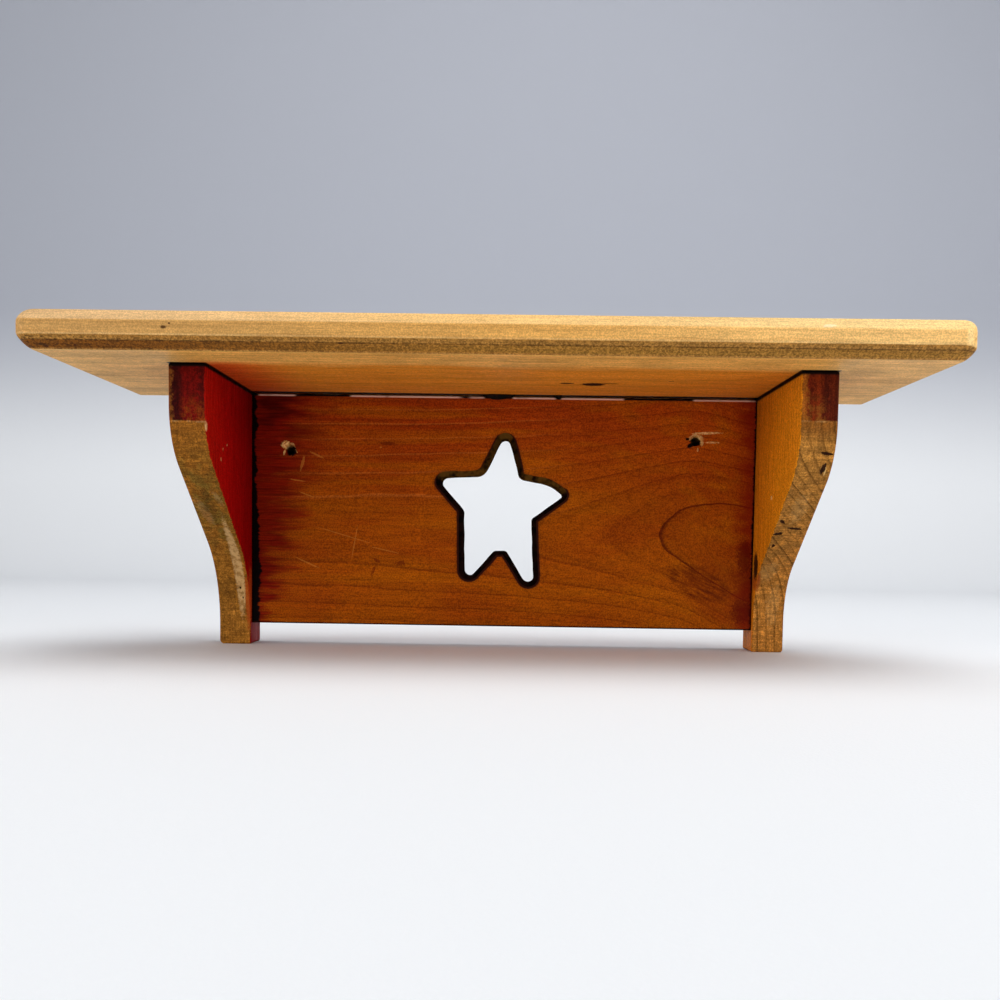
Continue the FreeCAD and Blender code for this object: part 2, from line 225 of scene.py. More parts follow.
panel_mesh = bmesh.new()
scorch = panel_mesh.verts.layers.float.new("scorch")
boxed(panel_mesh, panel_low, panel_high)
ease(panel_mesh, facing(panel_mesh, -INTO_WALL)[0].edges[:], panel_ease, arris_steps)
front_rim = open_up(panel_mesh, facing(panel_mesh, -INTO_WALL))
back_rim = open_up(panel_mesh, facing(panel_mesh, INTO_WALL))
star_back = trace_star(panel_mesh, 0, panel_thickness)
star_wall = trace_star(panel_mesh, 0, star_bevel)
star_front = trace_star(panel_mesh, star_bevel, 0)
star_glow = trace_star(panel_mesh, star_bevel + star_halo, 0)
dark_faces = bmesh.ops.bridge_loops(panel_mesh, edges=star_back + star_wall)["faces"]
star_slope = bmesh.ops.bridge_loops(panel_mesh, edges=star_wall + star_front)["faces"]
dark_faces += star_slope
bmesh.ops.bridge_loops(panel_mesh, edges=star_front + star_glow)
front_rim += star_glow
back_rim += star_back
for hole in screw_holes:
    middle = Vector((hole["middle"][0] * MM, panel_front, hole["middle"][1] * MM))
    tear = middle + Vector((hole["tear"][0], 0, hole["tear"][1])) * MM
    tear_size = [size * MM for size in hole["tear_size"]]
    round_size = (screw_hole_radius, screw_hole_radius)
    slant = ALONG * math.copysign(drill_slant, -middle.x)
    hole_back = ring(panel_mesh, middle + INTO_WALL * panel_thickness + slant, -INTO_WALL, round_size)
    hole_wall = ring(panel_mesh, middle + INTO_WALL * tear_depth, -INTO_WALL, round_size)
    hole_front = ring(panel_mesh, tear, -INTO_WALL, tear_size, tear_roughness)
    dark_faces += bmesh.ops.bridge_loops(panel_mesh, edges=hole_back + hole_wall)["faces"]
    bmesh.ops.bridge_loops(panel_mesh, edges=hole_wall + hole_front)
    front_rim += hole_front
    back_rim += hole_back
close_up(panel_mesh, front_rim, -INTO_WALL)
close_up(panel_mesh, back_rim, INTO_WALL)
bmesh.ops.recalc_face_normals(panel_mesh, faces=panel_mesh.faces[:])
# Where the bevel turns down, its scorch is thinned so the halo above the star is paler: a painted reflection
# of the pale floor.
for face in star_slope:
    for point in face.verts:
        point[scorch] = min(1, 1 + floor_reflection_thinning * face.normal.z)
# The screw holes' walls take the near-black scorched finish too, as painted shade inside the holes.
for face in dark_faces:
    face.material_index = 1
for edge in star_front + star_back + star_wall:
    edge.smooth = False


class Field:
    """A number, colour or place that changes over a surface, as the nodes of one finish work it out."""

    def __init__(self, tree, socket):
        self.tree = tree
        self.socket = socket

    def __add__(self, other):
        return calc("ADD", self, other)

    def __sub__(self, other):
        return calc("SUBTRACT", self, other)

    def __rsub__(self, other):
        return calc("SUBTRACT", other, self)

    def __mul__(self, other):
        return calc("MULTIPLY", self, other)

    def __truediv__(self, other):
        return calc("DIVIDE", self, other)

    __rmul__ = __mul__


def add_node(tree, kind, inputs, **options):
    """Adds a node, sets its options, feeds its inputs with fields or plain values, and gives its outputs."""
    node = tree.nodes.new("ShaderNode" + kind)
    for option, value in options.items():
        setattr(node, option, value)
    for name, value in inputs.items():
        if isinstance(value, Field):
            tree.links.new(value.socket, node.inputs[name])
        else:
            node.inputs[name].default_value = value
    return node.outputs


def result_of(tree, kind, inputs, output=0, **options):
    """What a new node makes of its inputs."""
    return Field(tree, add_node(tree, kind, inputs, **options)[output])


def calc(operation, *values):
    """Reckons with fields and plain numbers."""
    tree = next(value.tree for value in values if isinstance(value, Field))
    return result_of(tree, "Math", dict(enumerate(values)), operation=operation)


def most(total, *others):
    """The greatest of some fields at each point."""
    for other in others:
        total = calc("MAXIMUM", total, other)
    return total


def fade(value, start, stop):
    """Rises softly from 0 where the value is at start to 1 where it is at stop."""
    inputs = {"Value": value, "From Min": start, "From Max": stop}
    return result_of(value.tree, "MapRange", inputs, interpolation_type="SMOOTHSTEP")


def within(value, low, high, soft):
    """1 between two values, with soft ends."""
    return fade(value, low - soft, low + soft) * fade(value, high + soft, high - soft)


def light(tint):
    """The light that a colour stands for, given as a screen shows it, from 0 to 255."""
    parts = [part / 255 for part in tint]
    return [((part + 0.055) / 1.055) ** 2.4 if part > 0.04 else part / 12.92 for part in parts] + [1]


def blend(under, over, share):
    """Lays one colour over another in a share from 0 to 1. Plain colours are as a screen shows them."""
    under, over = (tint if isinstance(tint, Field) else light(tint) for tint in (under, over))
    return result_of(share.tree, "Mix", {0: share, 6: under, 7: over}, 2, data_type="RGBA")


def tone(base, mask, low, high):
    """Makes a colour darker or brighter: low times where the mask is 0, high times where it is 1."""
    scale = (high - low) * mask + low
    return result_of(mask.tree, "VectorMath", {0: base, "Scale": scale}, "Vector", operation="SCALE")


def stretch(place, scale, location=(0, 0, 0), turn=(0, 0, 0), order="POINT"):
    """Scales, turns and moves the place that a pattern is drawn at."""
    inputs = {"Vector": place, "Location": location, "Rotation": turn, "Scale": scale}
    return result_of(place.tree, "Mapping", inputs, vector_type=order)


def cloud(place, scale, detail=2.0, roughness=0.5):
    """Soft noise from about 0.25 to 0.75."""
    inputs = {"Vector": place, "Scale": scale, "Detail": detail, "Roughness": roughness}
    return result_of(place.tree, "TexNoise", inputs)


def grained(place, scale, detail=2.0):
    """Soft noise drawn out by a scale for each direction."""
    return cloud(stretch(place, scale), 1.0, detail)


def taken_apart(place):
    """The three parts of a place or a direction."""
    return [Field(place.tree, part) for part in add_node(place.tree, "SeparateXYZ", {0: place})]


def put_together(along, across, up):
    """A place from its three parts."""
    return result_of(up.tree, "CombineXYZ", {"X": along, "Y": across, "Z": up})


def length(place):
    """How far a place is from where it is measured from."""
    return result_of(place.tree, "VectorMath", {0: place}, "Value", operation="LENGTH")


def start_effect(name, inputs):
    """Starts a node group and gives it with its named inputs as fields."""
    tree = bpy.data.node_groups.new(name, "ShaderNodeTree")
    for label, kind in inputs.items():
        tree.interface.new_socket(label, in_out="INPUT", socket_type="NodeSocket" + kind)
    given = tree.nodes.new("NodeGroupInput").outputs
    return tree, [Field(tree, given[label]) for label in inputs]


def end_effect(tree, results):
    """Gives a node group its named outputs."""
    for label in results:
        tree.interface.new_socket(label, in_out="OUTPUT", socket_type="NodeSocketFloat")
    asked = tree.nodes.new("NodeGroupOutput").inputs
    for label, result in results.items():
        tree.links.new(result.socket, asked[label])


def start_finish(name):
    """Starts a material and gives it with the place of each point of the object."""
    finish = bpy.data.materials.new(name)
    finish.use_nodes = True
    return finish, result_of(finish.node_tree, "TexCoord", {}, "Object")


def surface_direction(place):
    """The three parts of the direction that the surface faces at a place."""
    return taken_apart(result_of(place.tree, "TexCoord", {}, "Normal"))


def end_finish(finish, base, roughness, height, relief, specular=0.5, metallic=0.0):
    """Feeds the shader with a colour, a roughness, and a height that raises the surface by a relief."""
    tree = finish.node_tree
    shader = tree.nodes["Principled BSDF"]
    normal = result_of(tree, "Bump", {"Strength": 1.0, "Distance": relief, "Height": height}, "Normal")
    for name, value in {"Base Color": base, "Roughness": roughness, "Normal": normal}.items():
        tree.links.new(value.socket, shader.inputs[name])
    shader.inputs["Specular IOR Level"].default_value = specular
    shader.inputs["Metallic"].default_value = metallic


# A small mark with a ragged rim, which several finishes use.
mark_inputs = {"Place": "Vector", "Middle": "Vector", "Half size": "Vector", "Turn": "Vector",
               "Ragged": "Float"}
mark_effect, (place, middle, half_size, turn, ragged) = start_effect("mark", mark_inputs)
reach = length(stretch(place, half_size, middle, turn, order="TEXTURE"))
fray = (cloud(place, 900.0) - 0.5) * ragged
end_effect(mark_effect, {"Mark": fade(reach + fray, 1.2, 0.8)})


def marks(place, spots, ragged):
    """One mask for small marks, each given by its middle and half size in mm and its turn in degrees."""
    masks = []
    for middle, half_size, turn in spots:
        inputs = {"Place": place, "Middle": Vector(middle) * MM, "Half size": Vector(half_size) * MM,
                  "Turn": (0, math.radians(turn), 0), "Ragged": ragged}
        masks.append(result_of(place.tree, "Group", inputs, node_tree=mark_effect))
    return most(*masks)


# The figure of pine, for a log that lies along x with its pith at the origin.
pine_inputs = {"Place": "Vector", "Ring width": "Float", "Wander": "Float", "Late share": "Float"}
pine_effect, (place, ring_width, wander, late_share) = start_effect("pine figure", pine_inputs)
across, up = taken_apart(place)[1:]
slow = grained(place, (9, 24, 24), 1.0) - 0.5
quick = grained(place, (45, 120, 120), 1.0) - 0.5
stray = (slow + 0.22 * quick) * wander
count = (length(put_together(0.0, across, up)) + stray) / ring_width
grown = calc("FRACT", count)
own = result_of(pine_effect, "TexWhiteNoise", {"W": calc("FLOOR", count)}, "Value", noise_dimensions="1D")
line = fade(grown, 1.0 - late_share, 0.95) * fade(grown, 1.0, 0.97) * (0.6 * own + 0.4)
long_fibre = grained(place, (28, 900, 900), 3.0)
short_fibre = grained(place, (130, 2100, 2100), 1.0)
end_effect(pine_effect, {
    "Line": line,
    "Growth": grown,
    "Fibre": 0.6 * long_fibre + 0.4 * short_fibre,
    "Streak": grained(place, (7, 110, 110)),
    "Pore": cloud(place, 1250.0, 1.0),
})


def pine_figure(place, ring_width, wander, late_share):
    """The lines, growth, fibres, streaks and pores of pine at a place in its log."""
    inputs = {"Place": place, "Ring width": ring_width, "Wander": wander, "Late share": late_share}
    outputs = add_node(place.tree, "Group", inputs, node_tree=pine_effect)
    return {output.name: Field(place.tree, output) for output in outputs}


pith_height = -92 * MM
pith_fall = 13 * MM
pith_depth = 46 * MM
pith_dive = 60 * MM
panel_finish, place = start_finish("stained panel pine")
x, y, z = taken_apart(place)
pith_y = pith_depth * (1.0 - calc("EXPONENT", (x - panel_high.x) / pith_dive))
log_y = pith_y + (y - panel_front)
log_z = z - (pith_height - pith_fall * fade(x, 105 * MM, 160 * MM))
log_place = put_together(x, log_y, log_z)
ring_radius = length(put_together(0.0, log_y, log_z))
figure = pine_figure(log_place, ring_width=7.15 * MM, wander=5 * MM, late_share=0.16)
fine_figure = pine_figure(log_place, ring_width=2.6 * MM, wander=5 * MM, late_share=0.5)

# The stain took redder near the top, browner below, and unevenly from streak to streak.
lifted = 40 * MM * grained(place, (8, 8, 24)) + z
upper_tone = blend((146, 52, 6), (164, 68, 8), fade(x, 0.0, 110 * MM))
base = blend((152, 72, 4), upper_tone, fade(lifted, -70 * MM, 5 * MM))
blotch = fade(grained(place, (12, 12, 30), 3.0), 0.38, 0.64)
base = blend(base, (132, 44, 4), 0.45 * blotch)
golden = fade(figure["Streak"], 0.45, 0.7)
base = blend(base, (162, 84, 4), 0.55 * golden)

# Growth rings: one bold arch at the right, darker lines below and to the right, thin pale ones elsewhere.
outside_arch = fade(ring_radius, 21 * MM, 25 * MM)
arch = fade(ring_radius, 35 * MM, 30 * MM) * outside_arch
rightward = fade(x, -10 * MM, 60 * MM)
lower = fade(z, -75 * MM, -105 * MM)
strong_dark = most(rightward, lower)
dark_ring = figure["Line"] * strong_dark * outside_arch * (0.5 * arch + 0.42)
pale_ring = figure["Line"] * (1.0 - strong_dark) * 0.5
late_shade = fade(figure["Growth"], 0.3, 0.85) * fade(figure["Growth"], 1.0, 0.9)
base = tone(base, late_shade * outside_arch, 1.03, 0.91)
base = tone(base, fine_figure["Line"], 1.02, 0.90)
base = blend(base, (78, 20, 2), dark_ring)
base = blend(base, (186, 100, 34), pale_ring)
fibre_tone = fade(figure["Fibre"], 0.36, 0.62)
base = tone(base, fibre_tone, 0.82, 1.12)
base = tone(base, fade(figure["Pore"], 0.32, 0.68), 0.74, 1.34)

# Near the ends: deep red painted as the left bracket's shadow, widest at the top, a dark red band at the
# right end, and black along the corners.
ragged = grained(place, (40, 40, 150), 3.0) - 0.5
fringe = grained(place, (70, 70, 620)) - 0.5
at_front = fade(y, panel_front + 3 * MM, panel_front + 2 * MM)
from_left = x - panel_low.x
red_width = 34 * MM * fade(z, -150 * MM, -20 * MM) + 16 * MM
red_edge = 50 * MM * ragged + from_left + 16 * MM * fringe
left_bracket_shadow = fade(red_edge / red_width, 1.2, 0.25) * at_front
deep_red = tone(blend((92, 2, 2), (122, 9, 3), fibre_tone), fibre_tone, 0.85, 1.1)
base = blend(base, deep_red, 0.9 * left_bracket_shadow)
# In patches toward the top, under the board, the painted shadow is deepest.
shadow_patches = fade(grained(place, (40, 40, 120)), 0.42, 0.62)
base = blend(base, (52, 2, 2), left_bracket_shadow * fade(z, -55 * MM, -15 * MM) * shadow_patches * 0.75)
corner = 8 * MM * ragged + 3 * MM * fringe + from_left
corner_width = 2.4 * MM * fade(z, -55 * MM, -120 * MM) + 2.6 * MM
left_black = fade(corner - corner_width, 0.8 * MM, -0.5 * MM)
base = blend(base, (8, 2, 2), left_black * at_front)
from_right = panel_high.x - x
red_right = fade(24 * MM * ragged + from_right, 16 * MM, 1 * MM)
base = blend(base, (116, 14, 5), red_right * at_front * 0.8)
right_black = fade(3 * MM * fringe + from_right, 1.9 * MM, 0.7 * MM)
base = blend(base, (10, 3, 3), right_black * at_front)


def panel_marks(place, spots, ragged, half_depth=9):
    """One mask for marks on the panel's front: right, above, half width, half height, in mm, and turn."""
    depth = -19
    return marks(place, [((right, depth, above), (half_width, half_depth, half_height), turn)
                         for right, above, half_width, half_height, turn in spots], ragged)


# Below the arch the rough grain held more stain, in dark slanting streaks, and the lower right corner is
# painted darker.
slanted = stretch(place, (1, 1, 1), turn=(0, math.radians(-24), 0))
slant_streak = fade(grained(slanted, (110, 110, 640), 3.0), 0.34, 0.66)
darker_corner = panel_marks(place, [(136, -128, 26, 17, 28)], 0.5)
base = blend(base, (104, 22, 4), 0.35 * darker_corner)
rough_grain = panel_marks(place, [(119, -121, 20, 9, 22)], 0.5)
base = blend(base, (60, 8, 3), rough_grain * slant_streak * 0.62)

# Knocks and stains that a shelf of this age has: dark red spots, and fine pale scratches.
dark_spots = [
    (147, -105, 4, 10, 0),
    (146, -138, 6, 7, 0),
    (-61.5, -112, 3.0, 1.4, -10),
    (-76, -110.5, 2.0, 1.1, 30),
    (-78, -116.5, 0.8, 3.2, 20),
    (-70, -39.5, 5, 0.8, 0),
]
base = blend(base, (74, 5, 3), 0.55 * panel_marks(place, dark_spots, 2.0))
scratches = [
    (-89.6, -99.7, 0.33, 9.4, 10),
    (-97, -95, 17, 0.28, 16),
    (-71, -104, 9, 0.3, 12),
    (-121.5, -52, 0.9, 4.5, 14),
    (-124.5, -62.5, 4.5, 0.45, 8),
    (-119, -71, 4.5, 0.4, 20),
    (-118, -112.5, 8, 0.45, 24),
    (-113, -47, 4.5, 0.6, 25),
    (-74, -42, 0.6, 0.6, 0),
]
pale_marks = panel_marks(place, scratches, 1.4)
base = blend(base, (206, 128, 50), 0.4 * pale_marks)

# The drill lifted splinters round the screw holes and bared pale wood.
torn_wood = [
    (-131.4, -41.4, 3.0, 2.5, 25),
    (-128.0, -41.8, 2.2, 1.6, 40),
    (-126.0, -44.2, 0.5, 2.2, -38),
    (-132.6, -45.6, 0.6, 2.0, 10),
    (117.0, -34.2, 3.6, 2.7, 20),
    (113.6, -34.2, 1.7, 1.6, 0),
    (119.6, -37.0, 1.0, 1.7, 0),
    (122.5, -30.9, 8.5, 0.75, -2),
    (126.0, -36.4, 4.2, 0.55, 0),
    (117.2, -40.8, 0.5, 1.2, 0),
]
torn = panel_marks(place, torn_wood, 0.8, half_depth=4)
torn_shade = fade(cloud(place, 700.0), 0.35, 0.65)
base = blend(base, blend((196, 132, 66), (242, 190, 120), torn_shade), torn)
# The holes' dark cores on the front and the insides of the tears are painted shade.
painted_hole_shade = [
    (-127.9, -45.1, 2.6, 3.0, 20),
    (117.2, -36.3, 1.8, 1.9, 0),
    (112.8, -38.3, 2.2, 1.3, -25),
    (110.9, -34.6, 1.2, 0.7, 0),
]
base = blend(base, (10, 4, 3), panel_marks(place, painted_hole_shade, 0.9))
tears = []
for hole in screw_holes:
    right, above = hole["middle"]
    tears.append(((right, panel_front / MM, above), (6, 12, 6), 0))
deep_in_tear = fade(y, panel_front + 0.9 * MM, panel_front + 2.2 * MM)
base = blend(base, (16, 7, 4), marks(place, tears, 0.0) * deep_in_tear)

# Along the top the arris is rubbed pale in places; elsewhere it is painted black, as shade from the gap under
# the board.
top_arris = fade(z, panel_high.z - 1.5 * MM, panel_high.z - 0.9 * MM) * at_front
worn_spans = [(-148, -126), (-92.5, -12), (5.5, 31), (34.5, 72), (114, 151)]
worn_runs = most(*[within(x, start * MM, end * MM, 1.2 * MM) for start, end in worn_spans])
worn_runs = worn_runs * fade(grained(place, (70, 70, 70)), 0.25, 0.45)
base = blend(base, blend((12, 4, 3), (232, 184, 160), worn_runs), top_arris)
low_arris = fade(z, panel_low.z + 1.2 * MM, panel_low.z + 0.5 * MM) * at_front
base = blend(base, (36, 8, 4), low_arris)
halo = result_of(place.tree, "Attribute", {}, "Fac", attribute_name="scorch")
charred = most(fade(halo, 0.50, 0.74), 0.6 * calc("POWER", halo, 2.0))
base = blend(base, (31, 10, 8), 0.97 * charred)
gloss = 0.2 * (1.0 - fibre_tone) + 0.42
roughness = most(gloss, 0.8 * most(torn, pale_marks))
height = 0.6 * figure["Fibre"] - 0.25 * figure["Line"] + 2.0 * (torn * torn_shade)
end_finish(panel_finish, base, roughness, height, 0.3 * MM, specular=0.03)

scorched_edge, place = start_finish("scorched star edge")
normal_z = surface_direction(place)[2]
saw_marks = grained(place, (260, 90, 260))
base = blend((10, 5, 4), (26, 12, 8), fade(saw_marks, 0.4, 0.65))
# Faces turned down are painted a paler olive: a painted reflection of the pale floor.
facing_down = fade(normal_z, 0.0, -0.6)
base = blend(base, (96, 64, 22), facing_down * fade(saw_marks, 0.25, 0.6) * 0.8)
end_finish(scorched_edge, base, 0.3 * saw_marks + 0.4, saw_marks, 0.3 * MM, specular=0.0)

panel = make_piece("star_panel", panel_mesh, panel_finish, scorched_edge)
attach(panel, "root")
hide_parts("back_panel")

# Brackets: two pine sides, band-sawn by eye to an S-curve, so the two curves differ a little. They are
# stained, with their front edges sanded back to bare wood below a short stained stretch at the top,
# and nailed through into the panel's ends.
bracket_ease = 1.2 * MM
bracket_arris = math.radians(40)
worn_corner_steps = 5
wall_gap = 0.01 * MM
foot_depth = 21 * MM
nail_seat_radius = 1.75 * MM
bracket_curves = {
    "left": {"drop": 21 * MM, "shoulder": 41 * MM, "slope": math.radians(50), "foot": 65 * MM,
             "worn corner": 2.4 * MM},
    "right": {"drop": 25.5 * MM, "shoulder": 40 * MM, "slope": math.radians(50.5), "foot": 44 * MM,
              "worn corner": 1.6 * MM},
}


def edges_among(parts):
    """The edges among parts of a mesh."""
    return [part for part in parts if isinstance(part, bmesh.types.BMEdge)]


def drill_seats(work, direction, seats):
    """Opens a round seat of a given depth round each point of the face that looks one way."""
    rim = open_up(work, facing(work, direction))
    drilled = []
    for middle, depth in seats:
        seat = ring(work, middle, direction, (nail_seat_radius, nail_seat_radius))
        drilled.append((seat, depth))
        rim += seat
    close_up(work, rim, direction)
    for seat, depth in drilled:
        grown = bmesh.ops.extrude_edge_only(work, edges=seat)["geom"]
        floor = points_among(grown)
        bmesh.ops.translate(work, verts=floor, vec=-direction * depth)
        floor_edges = [edge for edge in edges_among(grown) if set(edge.verts) <= set(floor)]
        bmesh.ops.edgeloop_fill(work, edges=floor_edges)
        for edge in seat:
            edge.smooth = False


def bracket_shape(side):
    """Saws one bracket to its curve, eases it and opens its nail seats."""
    low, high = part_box(side + "_bracket")
    curve = bracket_curves[side]
    half_turn = math.tan(curve["slope"] / 2)
    shoulder = high.z - curve["drop"] - curve["shoulder"] * half_turn
    foot = shoulder - (high.y - low.y - foot_depth) / math.tan(curve["slope"])
    outline = [(high.y, high.z), (high.y, low.z), (-foot_depth, low.z), (-foot_depth, foot),
               (low.y, shoulder), (low.y, high.z)]
    corners = [Vector((low.x, depth, height)) for depth, height in outline]
    rounds = [0, 0, 0, curve["foot"], curve["shoulder"], 0]
    work = bmesh.new()
    sawn = bmesh.ops.edgeloop_fill(work, edges=trace(work, corners, rounds, ALONG, arc_steps=28))["faces"]
    grown = bmesh.ops.extrude_face_region(work, geom=sawn)["geom"]
    bmesh.ops.translate(work, verts=points_among(grown), vec=ALONG * (high.x - low.x))
    bmesh.ops.recalc_face_normals(work, faces=work.faces[:])
    outer, outward = (low.x, -ALONG) if side == "left" else (high.x, ALONG)
    worn_corner = [edge for edge in work.edges
                   if all(point.co.z == low.z and point.co.x == outer for point in edge.verts)]
    ease(work, worn_corner, curve["worn corner"], worn_corner_steps)
    arrises = [edge for edge in work.edges
               if edge.calc_face_angle() > bracket_arris
               and min(point.co.y for point in edge.verts) < high.y - wall_gap]
    ease(work, arrises, bracket_ease, arris_steps)
    filler_low, filler_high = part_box(side + "_side_nail_filler")
    seat_y = (filler_low.y + filler_high.y) / 2
    seat_depth = filler_high.x - filler_low.x
    seat_heights = (filler_low.z + nail_seat_radius, filler_high.z - nail_seat_radius)
    drill_seats(work, outward, [(Vector((outer, seat_y, seat_z)), seat_depth) for seat_z in seat_heights])
    return work


outer_stain = ((138, 62, 12), (112, 42, 8))
# Each stretch of the stained top is given by its reach across the edge, from 0 outside to 1 inside.
# Scars, scuffs, blushes, knots and shadows are marks, each with its middle and half size in mm and its turn.
bracket_looks = {
    "left": {
        "pith": (0, 0.25, 0.16),
        "ring width": 2.2 * MM,
        "ring strength": 0.4,
        "sanded from": -39 * MM,
        "run on": 0.1,
        "sanded": ((152, 96, 30), (164, 108, 38)),
        "worn": (104, 62, 16),
        "patchy": ((122, 102, 40), -60 * MM, -104 * MM),
        "top stretches": [(0.0, 0.36, (44, 7, 5)), (0.0, 0.06, (150, 92, 34)), (0.86, 0.96, (52, 8, 6))],
        "top": (98, 9, 5),
        "top foot": (138, 58, 12),
        # The left inner face is painted deep dark red as shade, for the light comes from the left.
        "inner": ((160, 17, 6), (150, 6, 4), (118, 1, 1)),
        "scars": [((-157.2, -40, -117), (2.7, 400, 27), 0), ((-152.6, -104, -41.5), (0.45, 2.6, 2.8), 0),
                  ((-152.4, -68.3, -47.2), (2, 0.6, 0.7), 0), ((-152.4, -75.5, -50.5), (2, 0.5, 0.9), 0),
                  ((-152.4, -79, -56), (2, 0.5, 1.1), 0)],
        "scuffs": [((-156.2, -70, -77), (1.4, 400, 4), -20), ((-166, -60, -84), (2.5, 400, 7), -20)],
        "scar": (206, 166, 110),
        "blushes": [((-153.4, -22, -133), (1.7, 6, 20), 0)],
        "blush": (172, 66, 20),
        "knots": [((-157.5, -24, -128), (0.5, 400, 0.9), 0), ((-156.4, -24, -134), (0.4, 400, 0.7), 0)],
        "shadows": [((-163, -60, -82), (4, 400, 9), 0), ((-165, -22, -128), (5, 400, 8), 0)],
    },
    "right": {
        "pith": (0, -0.06, -0.04),
        "ring width": 4.3 * MM,
        "ring strength": 0.85,
        "sanded from": -35 * MM,
        "run on": 0.9,
        "sanded": ((178, 121, 51), (196, 128, 52)),
        "worn": (126, 82, 34),
        "patchy": ((156, 108, 47), -45 * MM, -118 * MM),
        "top stretches": [(0.0, 0.42, (78, 24, 8)), (0.72, 0.82, (70, 14, 6)), (0.32, 0.42, (60, 14, 6)),
                          (0.0, 0.05, (34, 10, 5)), (0.86, 1.1, (164, 96, 28))],
        "top": (108, 36, 9),
        "top foot": (136, 80, 26),
        # The right inner face is painted brighter, as the light from the left falls on it.
        "inner": ((208, 126, 22), (206, 124, 18), (190, 104, 13)),
        "scars": [((152.4, -55.3, -71.3), (2, 1.6, 1.2), 0), ((168.1, -96, -59.5), (0.5, 400, 2.2), 0)],
        "scuffs": [((158, -24, -113), (4.5, 400, 6.0), 20),
                   ((162, -70, -78), (4, 400, 7), 0), ((164, -21, -134), (4, 400, 12), 0)],
        "scar": (214, 170, 104),
        "blushes": [((153.2, -21, -120), (1.4, 400, 5), 0)],
        "blush": (150, 62, 20),
        "knots": [((167.2, -100.6, -51.1), (3.4, 20, 0.8), 8), ((166.9, -96.1, -58.4), (1.2, 20, 2.7), 12),
                  ((163.9, -59, -88.7), (4.4, 20, 0.55), 4), ((155.5, -63.5, -85.1), (2.0, 20, 0.7), 24),
                  ((155.5, -55.4, -91.6), (2.6, 20, 0.8), -8), ((155.2, -46.9, -98.3), (1.0, 20, 0.9), 0),
                  ((152.4, -25.5, -110.5), (1.4, 4.5, 8.0), 0)],
        "shadows": [((162, -21, -122.2), (9, 400, 0.9), 3)],
    },
}


